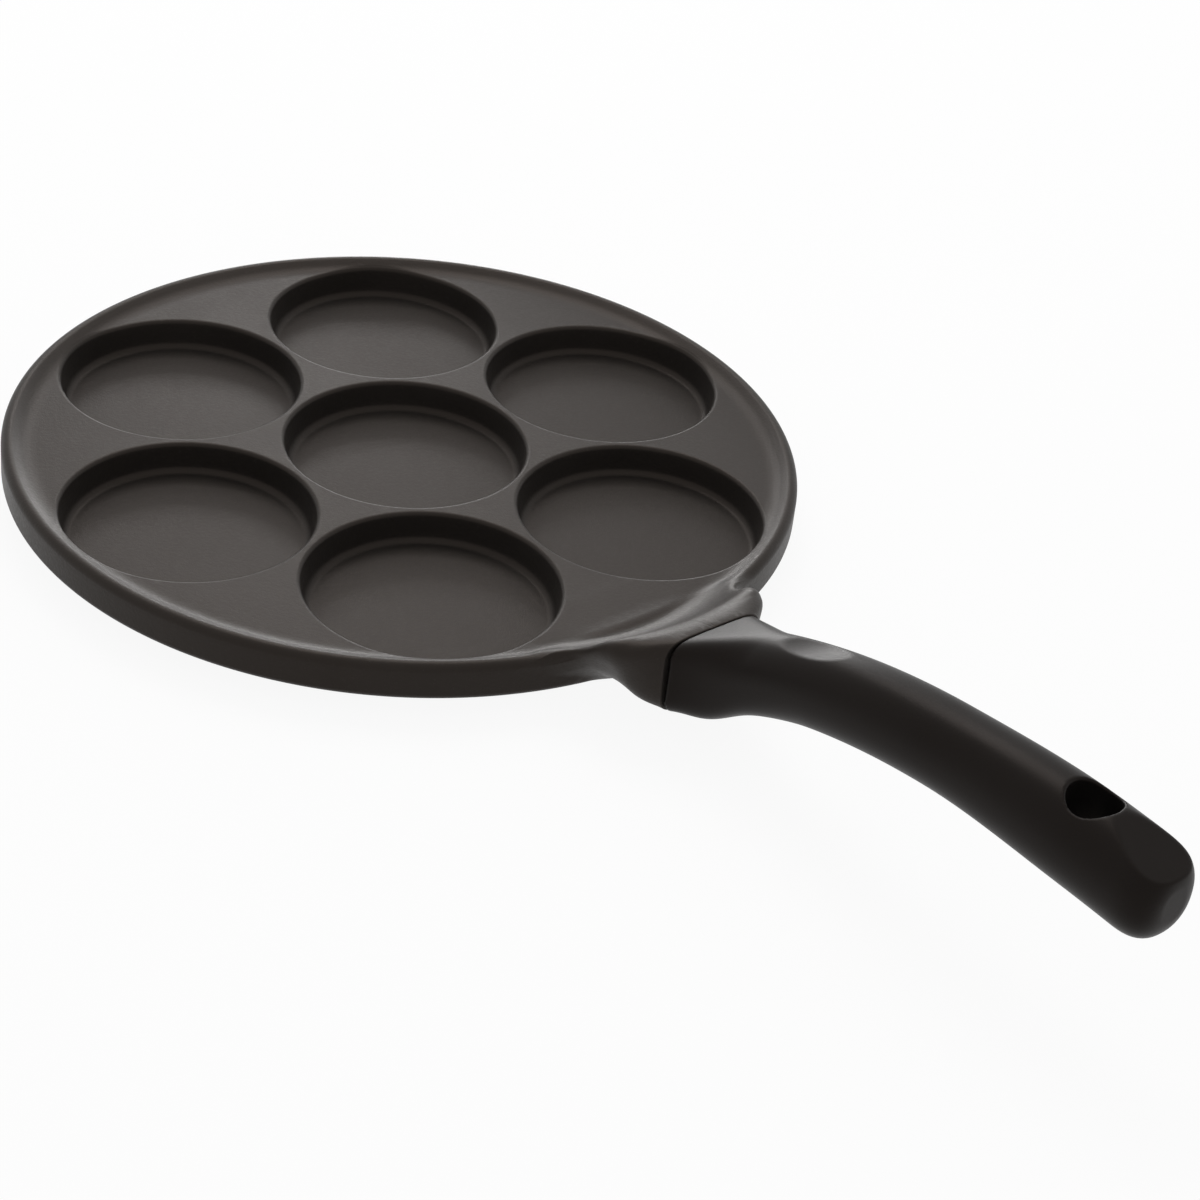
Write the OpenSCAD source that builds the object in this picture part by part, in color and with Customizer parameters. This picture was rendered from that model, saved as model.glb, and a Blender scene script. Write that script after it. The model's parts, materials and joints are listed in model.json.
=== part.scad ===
// Round cast pancake pan with seven shallow wells and a screwed-on moulded handle.
// Millimetres. The pan stands on z = 0, its axis is the z axis, and the handle points along +x.

/* [Plate] */
// Outside radius of the cast plate
plate_r = 130.3; // [110:0.1:160]
// Height of the deck between the wells above the table
deck_h = 15; // [13:0.5:22]
// Radius of the flat ring and disc that stand on the hob
base_r = 118; // [95:1:125]
// Height of the side wall's lower edge above the table
foot_h = 6; // [4:0.5:8]

/* [Rim] */
// Height of the rim bead above the deck
rim_h = 2.6; // [1.5:0.1:5]
// Width of the rim, from the side wall to the deck
rim_w = 7.8; // [6:0.1:12]
// Radius of the rounded rim crest
rim_round = 2.6; // [1:0.1:3]

/* [Wells] */
// Wells in the ring round the middle one
ring_wells = 6; // [4:1:6]
// Distance from the pan axis to the centre of an outer well
ring_r = 83.15; // [78:0.05:90]
// Radius of a well at the deck
well_r = 40.4; // [28:0.1:41]
// Depth of a well below the deck
well_depth = 10; // [6:0.5:11]
// Slope of a well's wall from the vertical, in degrees
well_draft = 8; // [2:0.5:15]
// Radius between a well's wall and its floor
well_fillet = 2.5; // [1:0.1:4]
// Broken edge round a well's mouth
well_edge = 0.6; // [0.2:0.1:1]

/* [Neck] */
// Distance from the side wall to the joint with the handle
neck_len = 23.2; // [18:0.1:35]
// Half the width of the neck and handle where they meet
joint_half_w = 17.8; // [14:0.1:20]
// Height of the neck and handle where they meet
joint_h = 25; // [22:0.1:30]
// Height of the joint's middle above the deck
joint_rise = 5.2; // [3:0.1:8]
// Widening of the neck's top on each side, just behind the joint
shoulder_w = 13; // [8:0.5:16]
// Length behind the joint in which the top widens
shoulder_back = 13; // [9:0.5:16]
// Turn of the flare that carries the top's outline into the side wall, in degrees
flare_turn = 60; // [50:1:70]
// Half the width of the neck's under side
heel_w = 20.5; // [18:0.5:24]
// Distance from the joint back to the neck's ridge
ridge_back = 9.2; // [6:0.1:12]
// Step down from the joint's top to the ridge
ridge_drop = 1.7; // [0.5:0.1:4]
// Length in which the neck's top climbs from the rim to full height
climb_len = 15; // [10:0.5:20]
// Radius of the ramp's ridge, seen from above
scoop_r = 90; // [60:1:150]

/* [Tang and pocket] */
// Upward tilt of the tang and of the screw's seat, in degrees
tang_tilt = 22; // [15:1:26]
// Length of the tang beyond the joint
tang_len = 32; // [28:1:36]
// Width of the tang
tang_w = 16; // [12:0.5:18]
// Thickness of the tang
tang_t = 10; // [8:0.5:11]
// Shift of the tang towards the top of the handle
tang_lift = 1.5; // [0:0.1:2.5]
// Clearance between the tang and the pocket's sides, roof and end
tang_gap = 0.3; // [0.1:0.1:0.8]
// Shadow gap between the neck's face and the handle's face
joint_gap = 0.7; // [0.3:0.1:1]

/* [Handle] */
// Length of the handle along x, from the joint to the tip
handle_len = 172.5; // [150:0.5:210]
// Height of the handle's middle at the tip above the joint's middle
handle_rise = 31; // [20:0.5:45]
// Slope of the handle where it leaves the joint, in degrees
root_slope = 27.5; // [15:0.5:32]
// Slope of the handle at the tip, in degrees
tip_slope = -3; // [-10:0.5:10]
// Length of the curve's first arm, which holds the root slope
root_arm = 56; // [40:1:80]
// Length of the curve's second arm, which holds the tip slope
tip_arm = 79; // [50:1:95]
// Half the width of the grip
grip_half_w = 11.4; // [10:0.1:16]
// Height of the grip
grip_h = 25; // [20:0.5:30]
// Widening of half the width near the end
end_swell_w = 0.9; // [0:0.1:3]
// Widening of the height near the end
end_swell_h = 2.8; // [0:0.1:5]
// Length in which the root's width falls away to the grip's
root_flare = 11; // [8:0.5:40]
// Depth of the belly under the root
belly = 3.7; // [0:0.1:5]
// Distance from the joint to the middle of the belly
belly_x = 12; // [8:0.5:20]
// Half length of the belly
belly_len = 10; // [6:0.5:15]
// Length of the rounded tip
tip_round = 13; // [8:1:20]
// Distance from the tip back to the crease of the slanted end
bevel_len = 23; // [18:0.5:28]
// Slope of the slanted end below the horizontal, in degrees
bevel_angle = 17; // [8:1:35]

/* [Thumb dish] */
// Distance from the joint to the middle of the dish
dish_x = 40; // [36:0.5:60]
// Depth of the dish
dish_depth = 1.4; // [0.5:0.1:2]
// Radius of the ball that shapes the dish
dish_ball = 70; // [40:1:90]

/* [Hanging hole] */
// Distance from the tip back to the middle of the hole
hole_back = 31; // [28:0.5:45]
// Radius of the hole
hole_r = 7.5; // [4:0.1:8]

/* [Screw and washers] */
// Distance along the tang from the joint to the screw
screw_at = 19; // [16:0.5:22]
// Radius of the screw's threaded shank
screw_r = 2.45; // [1.9:0.05:2.9]
// Length of the screw under its head
screw_len = 12; // [10:0.5:14]
// Radius of the screw's head
head_r = 4.75; // [4:0.05:5.2]
// Height of the screw's head
head_h = 3; // [2.4:0.1:3.4]
// Clearance between the screw's shank and the tapped hole's wall
thread_gap = 0.05; // [0.02:0.01:0.1]
// Depth of the tapped hole in the tang
tapped_depth = 8.5; // [7.5:0.5:9]
// Wall of the handle between the pocket and the screw's seat
seat_wall = 2.5; // [2:0.1:3]
// Radius of the recess for the screw's head
recess_r = 5.6; // [5.4:0.1:6.5]
// Outside radius of the flat washer
washer_r = 5; // [4.8:0.1:5.3]
// Thickness of the flat washer
washer_t = 1; // [0.8:0.1:1.2]
// Outside radius of the spring washer
spring_r = 4.6; // [4.2:0.1:5]
// Thickness of the spring washer
spring_t = 1.3; // [1:0.1:1.6]
// Clearance between the shank and the holes it passes through
shank_gap = 0.25; // [0.1:0.05:0.4]

/* [Hidden] */
$fn = 96;
casting_colour = "#34312f";
handle_colour = "#211f1e";
steel_colour = "#c4c6c8";
// Sides of a lofted section, and how far a cutter stands clear of what it cuts
section_sides = 40;
over = 1;
// Squareness of a lofted section: 2 is an oval, 5 a rounded rectangle. The handle's upper half turns
// oval sooner than its lower half.
square_root = 5;
square_grip = 2.2;
square_len_top = 24;
square_len_low = 48;

// Rim and wells
rim_inner_r = plate_r - rim_w;
rim_centre = [plate_r - rim_round, deck_h + rim_h - rim_round];
well_angle = 360 / ring_wells;
floor_h = deck_h - well_depth;
well_floor_r = well_r - well_edge - (well_depth - well_edge) * tan(well_draft);
fillet_x = well_floor_r - well_fillet * tan((90 - well_draft) / 2);

// Neck: the boss is rooted inside the plate and ends at the joint
joint_x = plate_r + neck_len;
joint_z = deck_h + joint_rise;
neck_end = joint_x - joint_gap / 2;
neck_root = rim_inner_r - 2;
ridge_x = joint_x - ridge_back;
ridge_z = joint_z + joint_h / 2 - ridge_drop;
rim_top = deck_h + rim_h;
climb_x = rim_inner_r + 1;
flare_back = 7.5;
flare_r = (joint_x - flare_back - climb_x) / sin(flare_turn);
heel_back = 10;
scoop_x = ridge_x - scoop_r;
scoop_slope = (ridge_x - rim_inner_r) / (ridge_z - deck_h);
neck_steps = 18;

// Handle: a cubic curve from the joint to the tip, in the x-z plane
tip_x = joint_x + handle_len;
handle_start = joint_x + joint_gap / 2;
curve = [
    [joint_x, joint_z],
    [joint_x + root_arm * cos(root_slope), joint_z + root_arm * sin(root_slope)],
    [tip_x - tip_arm * cos(tip_slope), joint_z + handle_rise - tip_arm * sin(tip_slope)],
    [tip_x, joint_z + handle_rise]
];
grip_steps = 22;
tip_steps = 5;
swell_start = handle_len - 80;
swell_len = 50;
bevel_x = tip_x - bevel_len;
hole_x = tip_x - hole_back;

// Screw seat, measured from the joint's middle in the tilted frame of the tang
tang_low = tang_lift - tang_t / 2;
seat_z = tang_low - seat_wall;
stack_t = washer_t + spring_t;
tang_root = 10;
recess_depth = 14;
slot_w = 1.2;
slot_len = 5.4;
slot_depth = 1.7;
split_w = 0.9;
split_angle = 25;
tip_chamfer = 0.7;

// Smooth step from 0 to 1, and a limit to that range
function unit(t) = min(max(t, 0), 1);
function ease(t) = unit(t) * unit(t) * (3 - 2 * unit(t));
// Power that keeps the sign of its base
function signed_pow(b, e) = sign(b) * pow(abs(b), e);
// Point of the handle's curve at t, and the t where the curve reaches x
function bezier(p, t) =
    pow(1 - t, 3) * p[0] + 3 * pow(1 - t, 2) * t * p[1] + 3 * (1 - t) * t * t * p[2] + t * t * t * p[3];
function curve_t(x, low = 0, high = 1, n = 30) =
    n == 0 ? (low + high) / 2
    : bezier(curve, (low + high) / 2)[0] < x ? curve_t(x, (low + high) / 2, high, n - 1)
    : curve_t(x, low, (low + high) / 2, n - 1);
function curve_z(x) = bezier(curve, curve_t(x))[1];

// Handle section at x: half width, half height and squareness
function tip_shrink(x) = pow(max(1 - pow(unit((x - tip_x + tip_round) / tip_round), 3), 0), 1 / 3);
function grip_w(x) = tip_shrink(x) * (grip_half_w
    + (joint_half_w - grip_half_w) * exp(-(x - joint_x) / root_flare)
    + end_swell_w * ease((x - joint_x - swell_start) / swell_len));
function grip_half_h(x) = tip_shrink(x) / 2 * (grip_h
    + (joint_h - grip_h) * exp(-(x - joint_x) / root_flare)
    + end_swell_h * ease((x - joint_x - swell_start) / swell_len));
function grip_belly(x) = belly * exp(-pow((x - joint_x - belly_x) / belly_len, 2));
function grip_square(x, length) = square_root + (square_grip - square_root) * ease((x - joint_x) / length);
function grip_top(x) = curve_z(x) + grip_half_h(x);
function grip_low(x) = curve_z(x) - grip_half_h(x) - grip_belly(x);

// Outline of the neck's top: a shoulder behind the joint, then an arc into the side wall
function shoulder(x) = shoulder_w * sin(90 * unit((joint_x - x) / shoulder_back));
function flare(x) = flare_r - sqrt(max(flare_r * flare_r - pow(max(joint_x - flare_back - x, 0), 2), 0));
function outline_w(x) = joint_half_w + shoulder(x) + flare(x);
// Neck section at x: half width above and below, top and bottom. Its root lies inside the plate.
function inside_w(x) = sqrt(max(pow(plate_r - 1, 2) - x * x, 0));
function neck_w(x) = x < climb_x ? min(outline_w(x), inside_w(x)) : outline_w(x);
function neck_low_w(x) =
    max(joint_half_w + (heel_w - joint_half_w) * ease((joint_x - x) / heel_back), inside_w(x));
function climb(x) = rim_top + (ridge_z - rim_top) * sin(90 * unit((x - climb_x) / climb_len));
function neck_top(x) =
    x < climb_x ? deck_h + rim_h * (x - climb_x + 1)
    : climb(x) + ridge_drop * unit((x - ridge_x) / ridge_back);
function neck_low(x) =
    foot_h + (joint_z - joint_h / 2 - grip_belly(joint_x) - foot_h) * ease((x - plate_r) / neck_len);

// One row of points round a section in the plane of constant x. Half width, height and squareness
// are each given for its low side and its high side.
function section(x, w_low, w_high, low, high, sq_low, sq_high) = [
    for (i = [0:section_sides - 1])
        let (a = 360 * i / section_sides)
        let (square = a > 180 ? sq_low : sq_high)
        let (up = signed_pow(sin(a), 2 / square))
        let (half_w = (w_low + w_high) / 2 + up * (w_high - w_low) / 2)
        [x, half_w * signed_pow(cos(a), 2 / square), (low + high) / 2 + up * (high - low) / 2]
];

// Closed skin through a list of sections that lie one behind the other along x
module loft(rows) {
    n = section_sides;
    last = len(rows) - 1;
    points = [for (row = rows) each row];
    sides = [
        for (r = [0:last - 1]) for (i = [0:n - 1])
            let (j = (i + 1) % n)
            each [[r * n + i, (r + 1) * n + j, r * n + j], [r * n + i, (r + 1) * n + i, (r + 1) * n + j]]
    ];
    first_cap = [for (i = [0:n - 1]) i];
    last_cap = [for (i = [n - 1:-1:0]) last * n + i];
    polyhedron(points = points, faces = concat(sides, [first_cap, last_cap]));
}

// Half outline of the plate without wells, turned round the pan axis
module plate_profile() {
    to_deck = [rim_inner_r, deck_h] - rim_centre;
    a = atan2(to_deck[1], to_deck[0]) - acos(rim_round / norm(to_deck));
    flank_top = rim_centre + rim_round * [cos(a), sin(a)];
    polygon([
        [0, 0], [base_r, 0], [plate_r, foot_h], [plate_r, rim_centre[1]],
        rim_centre, flank_top, [rim_inner_r, deck_h], [0, deck_h]
    ]);
    translate(rim_centre) circle(rim_round);
}

// Space of one well: floor with a rounded corner, sloping wall, broken edge, and the air above
module well_space() {
    edge_z = deck_h - well_edge;
    corner = [fillet_x, floor_h + well_fillet];
    tangent = corner + well_fillet * [cos(well_draft), -sin(well_draft)];
    rotate_extrude() {
        polygon([
            [0, floor_h], [fillet_x, floor_h], corner, tangent,
            [well_r - well_edge, edge_z], [well_r, deck_h], [well_r, deck_h + rim_h + over],
            [0, deck_h + rim_h + over]
        ]);
        intersection() {
            translate(corner) circle(well_fillet);
            translate([fillet_x, floor_h]) square([well_fillet, well_fillet]);
        }
    }
}

// Neck that flares out of the side wall, with a ramp scooped from the deck up to its ridge
module neck() {
    difference() {
        loft([
            for (i = [0:neck_steps])
                let (x = neck_root + (neck_end - neck_root) * i / neck_steps)
                section(x, neck_low_w(x), neck_w(x), neck_low(x), neck_top(x), square_root, square_root)
        ]);
        translate([scoop_x, 0, deck_h])
            cylinder(r1 = rim_inner_r - scoop_x, r2 = scoop_r + over * scoop_slope,
                h = ridge_z - deck_h + over);
    }
}

// Frame at the joint's middle, tilted up along the tang
module tang_frame() {
    translate([joint_x, 0, joint_z]) rotate([0, -tang_tilt, 0]) children();
}

// Frame on the screw's seat, with z along the screw towards the tang
module screw_frame() {
    tang_frame() translate([screw_at, 0, seat_z]) children();
}

module tang() {
    tang_frame()
        translate([-tang_root, -tang_w / 2, tang_low]) cube([tang_root + tang_len, tang_w, tang_t]);
}

module pocket() {
    tang_frame()
        translate([-tang_root, -tang_w / 2 - tang_gap, tang_low])
            cube([tang_root + tang_len + tang_gap, tang_w + 2 * tang_gap, tang_t + tang_gap]);
}

module pan_body() {
    color(casting_colour) difference() {
        union() {
            rotate_extrude() plate_profile();
            neck();
            tang();
        }
        well_space();
        for (i = [0:ring_wells - 1])
            rotate(well_angle * (i + 0.5)) translate([ring_r, 0, 0]) well_space();
        screw_frame() translate([0, 0, seat_wall - over])
            cylinder(r = screw_r + thread_gap, h = tapped_depth + over);
    }
}

// Skin of the handle from the joint to the rounded tip, before any cuts
module grip_skin() {
    start_len = tip_x - tip_round - handle_start;
    xs = concat(
        [for (i = [0:grip_steps]) handle_start + start_len * pow(i / grip_steps, 1.3)],
        [for (i = [1:tip_steps]) tip_x - tip_round * (1 - sin(80 * i / tip_steps))]
    );
    loft([
        for (x = xs)
            section(x, grip_w(x), grip_w(x), grip_low(x), grip_top(x),
                grip_square(x, square_len_low), grip_square(x, square_len_top))
    ]);
}

module handle() {
    dish_top = grip_top(joint_x + dish_x);
    dish_slope = atan2(grip_top(joint_x + dish_x + over) - grip_top(joint_x + dish_x - over), 2 * over);
    color(handle_colour) difference() {
        grip_skin();
        // Slanted end
        translate([bevel_x, -joint_half_w * 2, grip_top(bevel_x)]) rotate([0, bevel_angle, 0])
            cube([bevel_len * 2, joint_half_w * 4, grip_h]);
        // Thumb dish
        translate([joint_x + dish_x, 0, dish_top]) rotate([0, -dish_slope, 0])
            translate([0, 0, dish_ball - dish_depth]) sphere(dish_ball);
        // Hanging hole
        translate([hole_x, 0, 0]) cylinder(r = hole_r, h = grip_top(hole_x) + over);
        pocket();
        // Hole and recess for the screw
        screw_frame() {
            translate([0, 0, -over]) cylinder(r = screw_r + shank_gap, h = seat_wall + 2 * over);
            translate([0, 0, -recess_depth]) cylinder(r = recess_r, h = recess_depth);
        }
    }
}

// Pan-head machine screw with a cross recess, head down, shank up into the tang
module handle_screw() {
    color(steel_colour) screw_frame() translate([0, 0, -stack_t]) difference() {
        union() {
            cylinder(r = screw_r, h = screw_len - tip_chamfer);
            translate([0, 0, screw_len - tip_chamfer])
                cylinder(r1 = screw_r, r2 = screw_r - tip_chamfer, h = tip_chamfer);
            translate([0, 0, -head_h]) rotate_extrude() screw_head_profile();
        }
        for (turn = [0, 90])
            rotate(turn) translate([-slot_len / 2, -slot_w / 2, -head_h - over])
                cube([slot_len, slot_w, slot_depth + over]);
    }
}

// Half outline of the head: flat under side at the top, rounded shoulder below
module screw_head_profile() {
    shoulder = head_h * 0.6;
    polygon([
        [0, 0], [head_r - shoulder, 0], [head_r - shoulder, shoulder], [head_r, shoulder],
        [head_r, head_h], [0, head_h]
    ]);
    intersection() {
        translate([head_r - shoulder, shoulder]) circle(shoulder);
        translate([head_r - shoulder, 0]) square(shoulder);
    }
}

// Split lock washer, pressed flat between the head and the flat washer
module spring_washer() {
    color(steel_colour) screw_frame() translate([0, 0, -stack_t]) difference() {
        cylinder(r = spring_r, h = spring_t);
        translate([0, 0, -over]) cylinder(r = screw_r + shank_gap, h = spring_t + 2 * over);
        translate([spring_r / 2 + screw_r / 2, 0, spring_t / 2]) rotate([split_angle, 0, 0])
            cube([spring_r, split_w, spring_t * 3], center = true);
    }
}

module flat_washer() {
    color(steel_colour) screw_frame() translate([0, 0, -washer_t]) difference() {
        cylinder(r = washer_r, h = washer_t);
        translate([0, 0, -over]) cylinder(r = screw_r + shank_gap, h = washer_t + 2 * over);
    }
}

pan_body();
handle();
handle_screw();
spring_washer();
flat_washer();
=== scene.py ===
import json
import math

import bmesh
import bpy
import numpy as np
from mathutils import Matrix, Vector
from mathutils.geometry import delaunay_2d_cdt

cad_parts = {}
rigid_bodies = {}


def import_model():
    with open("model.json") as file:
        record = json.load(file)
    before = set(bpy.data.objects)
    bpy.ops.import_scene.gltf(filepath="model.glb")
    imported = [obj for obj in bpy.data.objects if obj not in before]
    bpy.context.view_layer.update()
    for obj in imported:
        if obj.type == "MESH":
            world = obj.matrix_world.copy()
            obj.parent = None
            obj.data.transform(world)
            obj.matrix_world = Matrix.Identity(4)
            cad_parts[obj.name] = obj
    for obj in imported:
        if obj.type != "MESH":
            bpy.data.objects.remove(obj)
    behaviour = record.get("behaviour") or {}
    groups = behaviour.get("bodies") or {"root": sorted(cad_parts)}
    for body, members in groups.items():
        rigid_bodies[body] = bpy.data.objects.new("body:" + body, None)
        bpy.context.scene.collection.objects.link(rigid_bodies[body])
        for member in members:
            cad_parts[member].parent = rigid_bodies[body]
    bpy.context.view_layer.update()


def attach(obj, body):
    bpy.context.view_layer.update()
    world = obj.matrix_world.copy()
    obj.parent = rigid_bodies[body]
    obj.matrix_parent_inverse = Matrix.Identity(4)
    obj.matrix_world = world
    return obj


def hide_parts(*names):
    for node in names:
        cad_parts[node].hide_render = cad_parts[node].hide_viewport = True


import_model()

# ---------------------------------------------------------------- sizes, in millimetres
PLATE_R, DECK, BASE_R, FOOT = 130.3, 15.0, 118.0, 6.0
RIM_H, RIM_W, RIM_ROUND, RIM_FILLET = 2.6, 7.8, 2.6, 1.2
RIM_IN, RIM_TOP = PLATE_R - RIM_W, DECK + RIM_H
RING_R, WELL_R, WELL_DEPTH, DRAFT = 83.15, 40.4, 10.0, math.radians(8)
WELL_EDGE, WELL_FILLET, LIP = 0.6, 2.5, 1.5
NECK_LEN, JOINT_W, JOINT_H, JOINT_RISE, JOINT_GAP = 23.2, 17.8, 25.0, 5.2, 0.7
JOINT_X, JOINT_Z = PLATE_R + NECK_LEN, DECK + JOINT_RISE
SHOULDER_W, SHOULDER_BACK, HEEL_W, HEEL_BACK = 13.0, 13.0, 20.5, 10.0
RIDGE_BACK, RIDGE_DROP, CLIMB_LEN, SCOOP_R, HOLLOW = 9.2, 1.7, 15.0, 90.0, 1.6
RIDGE_X, RIDGE_Z, CLIMB_X = JOINT_X - RIDGE_BACK, JOINT_Z + JOINT_H / 2 - RIDGE_DROP, RIM_IN + 1
NECK_END, HANDLE_START = JOINT_X - JOINT_GAP / 2, JOINT_X + JOINT_GAP / 2
TILT, TANG_LEN, TANG_W, TANG_T, TANG_LIFT, TANG_GAP = math.radians(22), 32.0, 16.0, 10.0, 1.5, 0.3
TANG_LOW, END_ROUND = TANG_LIFT - TANG_T / 2, 0.45
HANDLE_LEN, HANDLE_RISE, ROOT_SLOPE, TIP_SLOPE, ROOT_ARM, TIP_ARM = 172.5, 31.0, 27.5, -3.0, 56.0, 79.0
TIP_X = JOINT_X + HANDLE_LEN
GRIP_W, GRIP_H, SWELL_W, SWELL_H, ROOT_FLARE = 11.4, 25.0, 0.9, 2.8, 11.0
BELLY, BELLY_X, BELLY_LEN = 3.7, 12.0, 10.0
TIP_ROUND, BEVEL_LEN, BEVEL = 13.0, 23.0, math.radians(17)
DISH_X, DISH_DEPTH, DISH_BALL = 40.0, 1.4, 70.0
HOLE_X, HOLE_R = TIP_X - 31.0, 7.5
SCREW_AT, SEAT_WALL, RECESS_R, SHANK_R = 19.0, 2.5, 5.6, 2.7
SQ_ROOT, SQ_GRIP, SQ_TOP, SQ_LOW = 5.0, 2.2, 24.0, 48.0
BLEND, FAN_R = 5.0, 126.3
# The neck's shape is only worked out beyond NECK_FROM, and its nose begins to close at NOSE_X
NECK_FROM, NOSE_X, NOSE_LEN, NOSE_FAN = 100, 157, 15, 163.0
# Heights inside the plate that rays start from, under the deck and at the plate's edge
UNDER_DECK, MID_Z, REACH = 11.0, 9.5, 30.0
# Radius at which a well's rings meet the deck, the ring next to it, and the points in each ring
WELL_OUT, WELL_NEXT, WELL_POINTS = 41.4, 41.33, 168
COLUMN_ROWS, DECK_STEP, DECK_ROW, DECK_R = 62, 2.7, 2.34, 117.2
DECK_RINGS = (124.3, 123.6, 123.0, 122.7, 122.4, 122.1, 121.4, 120.2, 118.6)


# ---------------------------------------------------------------- distance-like fields
def unit(t):
    return np.clip(t, 0.0, 1.0)


def ease(t):
    t = unit(t)
    return t * t * (3 - 2 * t)


def both(a, b, r):
    """Solid in both a and b, with the edge between them rounded to r."""
    return np.minimum(np.maximum(a, b), -r) + np.hypot(np.maximum(a + r, 0), np.maximum(b + r, 0))


def either(a, b, r):
    """Solid in a or b, with a fillet of r between them."""
    return -both(-a, -b, r)


def soft_both(a, b, k):
    """Solid in both a and b, with a soft edge of width k."""
    h = np.maximum(k - np.abs(a - b), 0) / k
    return np.maximum(a, b) + h * h * k / 4


def squared(side, w, z, low, high, n):
    """Distance to the skin of a rounded-rectangle section; side is the distance off its flats, w its half width."""
    half = (high - low) / 2
    a, b = np.maximum(side / w + 1, 0), np.abs(z - (low + high) / 2) / half
    v = (a**n + b**n + 1e-12) ** (1 / n)
    return (v - 1) / np.maximum(np.hypot((a / v) ** (n - 1) / w, (b / v) ** (n - 1) / half), 1e-3)


# ---------------------------------------------------------------- the casting
def neck_skin(x, y, z):
    """The neck. In plan its sides leave the round plate in a wide curve above and a tight one below."""
    w_high = JOINT_W + SHOULDER_W * np.sin(math.pi / 2 * unit((JOINT_X - x) / SHOULDER_BACK))
    w_low = JOINT_W + (HEEL_W - JOINT_W) * ease((JOINT_X - x) / HEEL_BACK)
    climb = RIM_TOP + (RIDGE_Z - RIM_TOP) * np.sin(math.pi / 2 * unit((x - CLIMB_X) / CLIMB_LEN))
    steep = (RIDGE_Z - RIM_TOP) * math.pi / 2 / CLIMB_LEN
    high = climb + steep * np.minimum(x - CLIMB_X, 0) + RIDGE_DROP * unit((x - RIDGE_X) / RIDGE_BACK)
    heel = JOINT_Z - JOINT_H / 2 - BELLY * math.exp(-((BELLY_X / BELLY_LEN) ** 2))
    low = FOOT + (heel - FOOT) * ease((x - PLATE_R) / NECK_LEN)
    high = np.maximum(high, low + 2)
    # Beyond the joint the neck runs on into a blunt nose, which is cut off flat later
    nose = np.sqrt(np.maximum(1 - (np.maximum(x - NOSE_X, 0) / NOSE_LEN) ** 2, 1e-4))
    mid, half = (low + high) / 2, (high - low) / 2 * nose
    t = (np.clip((z - mid) / half, -1, 1) + 1) / 2
    w = (w_low + (w_high - w_low) * t) * nose
    plate = PLATE_R - BLEND - 6 * ease((CLIMB_X - 4 - x) / 8)
    side = either(np.hypot(x, y) - plate, np.abs(y) - w, 10 + 24 * t)
    slope = steep * np.cos(math.pi / 2 * unit((x - CLIMB_X) / CLIMB_LEN))
    flat = np.maximum((z - mid - half) / np.hypot(1, slope), mid - half - z)
    skin = both(side, flat, 10.5)
    # Near the joint the section is the grip's own, so that the two meet line on line
    at_joint = ease((x - JOINT_X + 14) / 10)
    skin = skin + at_joint * (squared(side, w, z, mid - half, mid + half, SQ_ROOT) - skin)
    return np.where(x < NECK_FROM, 2 * BLEND, skin)


def casting(x, y, z):
    r = np.hypot(x, y)
    # Rim bead: a round crest with a straight flank down to the deck
    cr, cz = PLATE_R - RIM_ROUND, RIM_TOP - RIM_ROUND
    crest = np.hypot(r - cr, z - cz) - RIM_ROUND
    a = math.acos(RIM_ROUND / (cr - RIM_IN))
    fx, fz = cr - RIM_ROUND * math.cos(a), cz + RIM_ROUND * math.sin(a)
    dx, dz = math.sin(a), math.cos(a)
    over, past = (z - fz) * dx - (r - fx) * dz, np.maximum((r - fx) * dx + (z - fz) * dz, r - cr)
    flank = np.minimum(np.maximum(over, past), 0) + np.hypot(np.maximum(over, 0), np.maximum(past, 0))
    top = either(np.maximum(z - DECK, r - cr), np.minimum(crest, flank), RIM_FILLET)
    top = np.minimum(top, np.maximum(z - DECK, r - PLATE_R))
    slope = math.hypot(PLATE_R - BASE_R, FOOT)
    cone = ((r - BASE_R) * FOOT - z * (PLATE_R - BASE_R)) / slope
    plate = both(both(top, cone, 1.2), -z, 0.8)
    whole = either(plate, neck_skin(x, y, z), BLEND)
    # The deck runs up to the neck's ridge in a hollow ramp, which also cuts the rim bead away there
    scoop_x, run = RIDGE_X - SCOOP_R, RIDGE_X - RIM_IN
    t = (np.hypot(x - scoop_x, y) - (RIM_IN - scoop_x)) / run
    height = (RIDGE_Z - DECK) * np.abs(t) ** HOLLOW
    slope = (RIDGE_Z - DECK) * HOLLOW * np.abs(t) ** (HOLLOW - 1) / run
    ramp = (z - DECK - 0.2 - height) / np.hypot(1, slope)
    return np.where(x < NECK_FROM, whole, soft_both(whole, ramp, 0.7 + 3.3 * ease((t - 0.35) / 0.4)))


def halve(f, o, d, lo, hi, rounds):
    """Narrows the span lo to hi of each ray o + t d, in which f turns from inside to outside."""
    for _ in range(rounds):
        mid = (lo + hi) / 2
        p = o + d * mid[:, None]
        inside = f(p[:, 0], p[:, 1], p[:, 2]) < 0
        lo, hi = np.where(inside, mid, lo), np.where(inside, hi, mid)
    return (lo + hi) / 2


def root_find(f, o, d, far):
    """Distance along each ray o + t d at which f turns from inside to outside, for f(o) inside."""
    return halve(f, o, d, np.zeros(len(o)), np.full(len(o), far), 30)


def march(f, o, d, reach, steps):
    """As root_find, but it first walks to the nearest point outside, for skins that a ray crosses more than once."""
    t = np.linspace(0, reach, steps + 1)
    hi = np.full(len(o), reach, float)
    done = np.zeros(len(o), bool)
    lo = np.zeros(len(o))
    for k in range(1, steps + 1):
        p = o + d * t[k]
        out = (f(p[:, 0], p[:, 1], p[:, 2]) >= 0) & ~done
        hi[out], lo[out] = t[k], t[k - 1]
        done |= out
    return halve(f, o, d, lo, hi, 24)


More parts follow.
